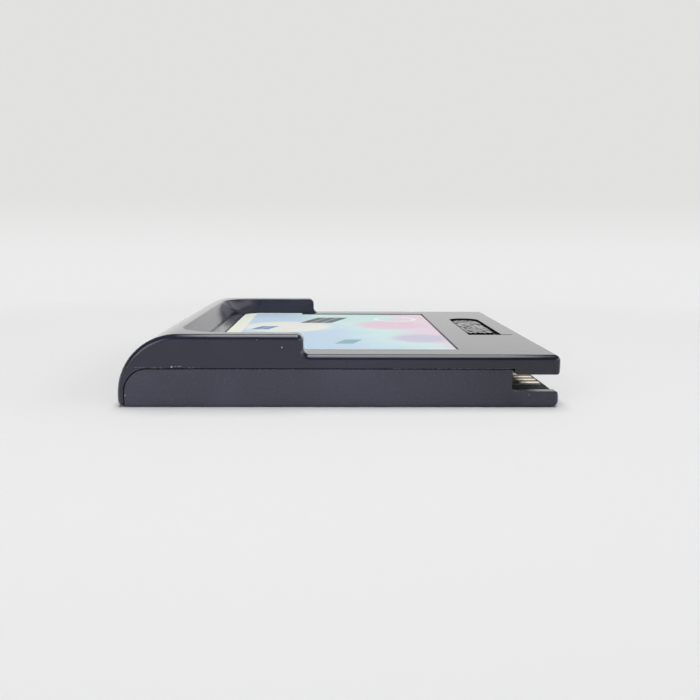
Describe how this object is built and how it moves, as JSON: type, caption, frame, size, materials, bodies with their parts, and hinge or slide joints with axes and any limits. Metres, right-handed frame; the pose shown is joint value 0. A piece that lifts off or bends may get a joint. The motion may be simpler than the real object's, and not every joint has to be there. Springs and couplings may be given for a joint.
{
  "type": "game cartridge",
  "caption": "Flat square game cartridge: two moulded shells with a hooded raised grip end, a front label, and a circuit board's edge connector in a slotted mouth at the other end.",
  "frame": {"origin": "under the middle of the case, on the surface it rests on", "axes": "+X towards the connector mouth, +Z out of the label, +Y across the case to complete a right-handed frame"},
  "size_m": [0.067, 0.067, 0.011],
  "materials": {
    "case_plastic": "satin, finely textured",
    "label_print": "coated print",
    "board_laminate": "solder mask",
    "contact_gold": "plated",
    "chip_epoxy": "moulded",
    "tinned_metal": "tinned",
    "ceramic": "fired ceramic",
    "screw_steel": "zinc plated"
  },
  "bodies": {
    "root": {"front_shell": "case_plastic", "rear_shell": "case_plastic", "front_label": "label_print", "circuit_board": "board_laminate", "upper_contacts": "contact_gold", "lower_contacts": "contact_gold", "rom_package": "chip_epoxy", "rom_leads": "tinned_metal", "capacitor_bodies": "ceramic", "capacitor_terminals": "tinned_metal", "case_screw": "screw_steel"}
  },
  "joints": []
}
